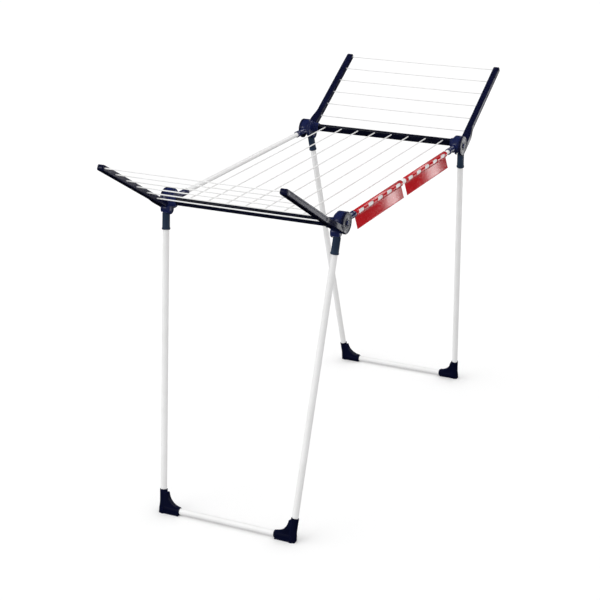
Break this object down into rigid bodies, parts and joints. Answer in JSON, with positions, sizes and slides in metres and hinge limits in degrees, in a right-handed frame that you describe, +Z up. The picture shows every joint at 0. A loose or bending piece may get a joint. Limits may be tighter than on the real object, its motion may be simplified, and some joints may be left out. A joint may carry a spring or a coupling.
{
  "type": "clothes drying rack",
  "caption": "Folding winged clothes drying rack: a strung top frame on two splayed leg frames, with hinged side wings and clip-on peg holders along one rail.",
  "frame": {"origin": "on the floor, under the middle of the open rack", "axes": "+X across the rack towards the rail that carries the peg holders, +Y along the rack towards the far wing, +Z up"},
  "size_m": [0.568, 1.6016, 1.0648],
  "materials": {
    "navy_plastic": "glossy injection-moulded plastic",
    "crossbar_plastic": "glossy moulded bar",
    "arm_plastic": "satin-gloss moulded plastic",
    "sleeve_plastic": "satin moulded plastic",
    "foot_plastic": "satin moulded plastic",
    "white_tube": "white powder-coated steel tube",
    "line": "white plastic-sheathed line",
    "steel": "plain steel pin",
    "rivet": "moulded plug",
    "red_plastic": "glossy red moulded plastic"
  },
  "bodies": {
    "frame": {"near_crossbar": "crossbar_plastic", "far_crossbar": "crossbar_plastic", "near_left_hub": "navy_plastic", "near_right_hub": "navy_plastic", "far_left_hub": "navy_plastic", "far_right_hub": "navy_plastic", "left_side_rail": "white_tube", "right_side_rail": "white_tube", "wing_pivot_pins": "navy_plastic", "leg_pivot_pins": "steel", "central_line_1": "line", "central_line_2": "line", "central_line_3": "line", "central_line_4": "line", "central_line_5": "line", "central_line_6": "line", "central_line_7": "line", "central_line_8": "line"},
    "near_wing": {"near_left_arm": "arm_plastic", "near_right_arm": "arm_plastic", "near_wing_line_1": "line", "near_wing_line_2": "line", "near_wing_line_3": "line", "near_wing_line_4": "line", "near_wing_line_5": "line", "near_wing_line_6": "line"},
    "far_wing": {"far_left_arm": "arm_plastic", "far_right_arm": "arm_plastic", "far_wing_line_1": "line", "far_wing_line_2": "line", "far_wing_line_3": "line", "far_wing_line_4": "line", "far_wing_line_5": "line", "far_wing_line_6": "line"},
    "near_legs": {"near_left_leg_sleeve": "sleeve_plastic", "near_left_leg_tube": "white_tube", "near_left_foot": "foot_plastic", "near_right_leg_sleeve": "sleeve_plastic", "near_right_leg_tube": "white_tube", "near_right_foot": "foot_plastic", "near_foot_tube": "white_tube", "near_foot_rivets": "rivet"},
    "far_legs": {"far_left_leg_sleeve": "sleeve_plastic", "far_left_leg_tube": "white_tube", "far_left_foot": "foot_plastic", "far_right_leg_sleeve": "sleeve_plastic", "far_right_leg_tube": "white_tube", "far_right_foot": "foot_plastic", "far_foot_tube": "white_tube", "far_foot_rivets": "rivet"},
    "near_holder": {"near_peg_holder": "red_plastic"},
    "far_holder": {"far_peg_holder": "red_plastic"}
  },
  "joints": [
    {"name": "near_wing_fold", "type": "hinge", "parent": "frame", "child": "near_wing", "pos_m": [0, -0.4478, 0.8804], "axis": [-1, 0, 0], "range_deg": [0, 148.5]},
    {"name": "far_wing_fold", "type": "hinge", "parent": "frame", "child": "far_wing", "pos_m": [0, 0.4478, 0.8804], "axis": [1, 0, 0], "range_deg": [0, 148.5]},
    {"name": "near_legs_fold", "type": "hinge", "parent": "frame", "child": "near_legs", "pos_m": [0, -0.47209, 0.85882], "axis": [1, 0, 0], "range_deg": [0, 97.5]},
    {"name": "far_legs_fold", "type": "hinge", "parent": "frame", "child": "far_legs", "pos_m": [0, 0.47209, 0.85882], "axis": [-1, 0, 0], "range_deg": [0, 93]},
    {"name": "near_holder_swivel", "type": "hinge", "parent": "frame", "child": "near_holder", "pos_m": [0.261, 0, 0.8794], "axis": [0, -1, 0], "range_deg": [0, 75]},
    {"name": "far_holder_swivel", "type": "hinge", "parent": "frame", "child": "far_holder", "pos_m": [0.261, 0, 0.8794], "axis": [0, -1, 0], "range_deg": [0, 75]}
  ]
}
